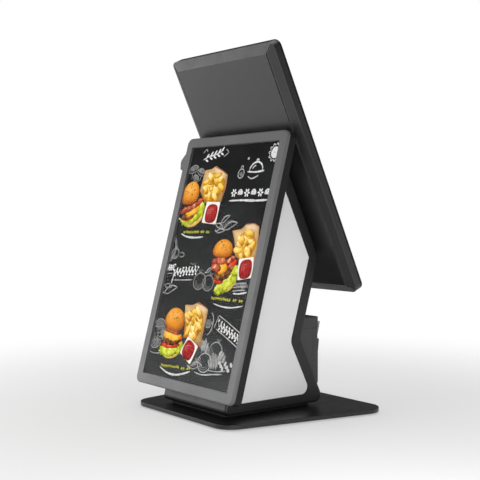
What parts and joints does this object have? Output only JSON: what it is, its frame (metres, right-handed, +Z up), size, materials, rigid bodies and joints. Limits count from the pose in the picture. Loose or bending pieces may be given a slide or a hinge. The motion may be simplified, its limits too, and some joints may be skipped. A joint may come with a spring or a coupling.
{
  "type": "pos touchscreen terminal",
  "caption": "Upright point-of-sale terminal: a tall customer touchscreen and a tall operator touchscreen back to back on an A-shaped stand with a built-in receipt printer and a wide base plate.",
  "frame": {"origin": "on the counter, under the middle of the base plate's box", "axes": "+Z up, +Y towards the operator, +X to the right as the customer sees it"},
  "size_m": [0.2982, 0.256, 0.5103],
  "materials": {
    "stand_paint": "fine satin powder coat",
    "body_plastic": "fine moulded texture",
    "bezel_paint": "satin paint on aluminium",
    "panel_white": "smooth satin white",
    "screen_glass": "clear touch glass",
    "lcd_face": "lit picture panel",
    "tray_metal": "plain sheet",
    "board_green": "solder mask",
    "steel": "zinc plated",
    "rubber_black": "matt",
    "printer_plastic": "fine moulded texture",
    "clear_plastic": "clear moulded plastic",
    "paper_white": "thermal paper",
    "card_brown": "paper core",
    "gear_white": "acetal",
    "button_grey": "satin",
    "led_green": "light pipe"
  },
  "bodies": {
    "terminal": {"base_plate": "stand_paint", "rubber_feet": "rubber_black", "base_screws": "steel", "stand_gasket": "rubber_black", "stand_shell": "stand_paint", "side_panel_left": "panel_white", "side_panel_right": "panel_white", "stand_spine": "steel", "front_bezel": "bezel_paint", "front_touch_glass": "screen_glass", "front_lcd_panel": "lcd_face", "front_backlight_tray": "tray_metal", "front_driver_board": "board_green", "front_housing": "body_plastic", "electronics_cover": "body_plastic", "side_sensor_pod": "bezel_paint", "mainboard": "board_green", "heatsink": "tray_metal", "speakers": "body_plastic", "io_panel": "body_plastic", "usb_sockets": "steel", "dc_socket": "button_grey", "front_mount_screws": "steel", "rear_bezel": "body_plastic", "rear_touch_glass": "screen_glass", "rear_lcd_panel": "lcd_face", "rear_backlight_tray": "tray_metal", "rear_driver_board": "board_green", "rear_housing": "body_plastic", "rear_mount_bracket": "stand_paint", "rear_mount_screws": "steel", "printer_body": "printer_plastic", "printer_top_cover": "printer_plastic", "tear_bar": "steel", "print_head": "button_grey", "head_heatsink": "tray_metal", "roll_spindle": "gear_white", "door_hinge_pins": "steel", "status_led": "led_green"},
    "printer_door": {"printer_door": "printer_plastic", "paper_guide": "clear_plastic", "lever_pin": "steel"},
    "platen": {"platen_shaft": "steel", "platen_roller": "rubber_black", "platen_gear": "gear_white"},
    "release_lever": {"release_lever": "button_grey"},
    "paper_roll": {"paper_roll": "paper_white", "paper_core": "card_brown"},
    "feed_button": {"feed_button": "button_grey"},
    "power_button": {"power_button": "button_grey"}
  },
  "joints": [
    {"name": "printer_door_hinge", "type": "hinge", "parent": "terminal", "child": "printer_door", "pos_m": [0, 0.06365, 0.03], "axis": [-1, 0, 0], "range_deg": [0, 75]},
    {"name": "platen_spin", "type": "hinge", "parent": "printer_door", "child": "platen", "pos_m": [0, 0.055, 0.109], "axis": [1, 0, 0], "continuous": true},
    {"name": "release_lever_pull", "type": "hinge", "parent": "printer_door", "child": "release_lever", "pos_m": [0, 0.065, 0.086], "axis": [-1, 0, 0], "range_deg": [0, 12], "stiffness_Nm_per_rad": 0.3},
    {"name": "paper_roll_spin", "type": "hinge", "parent": "terminal", "child": "paper_roll", "pos_m": [0, 0.0225, 0.06], "axis": [1, 0, 0], "continuous": true},
    {"name": "feed_button_press", "type": "slide", "parent": "terminal", "child": "feed_button", "axis": [0, -1, 0], "range_m": [0, 0.0012], "stiffness_N_per_m": 400},
    {"name": "power_button_press", "type": "slide", "parent": "terminal", "child": "power_button", "axis": [1, 0, 0], "range_m": [0, 0.0005], "stiffness_N_per_m": 600}
  ]
}
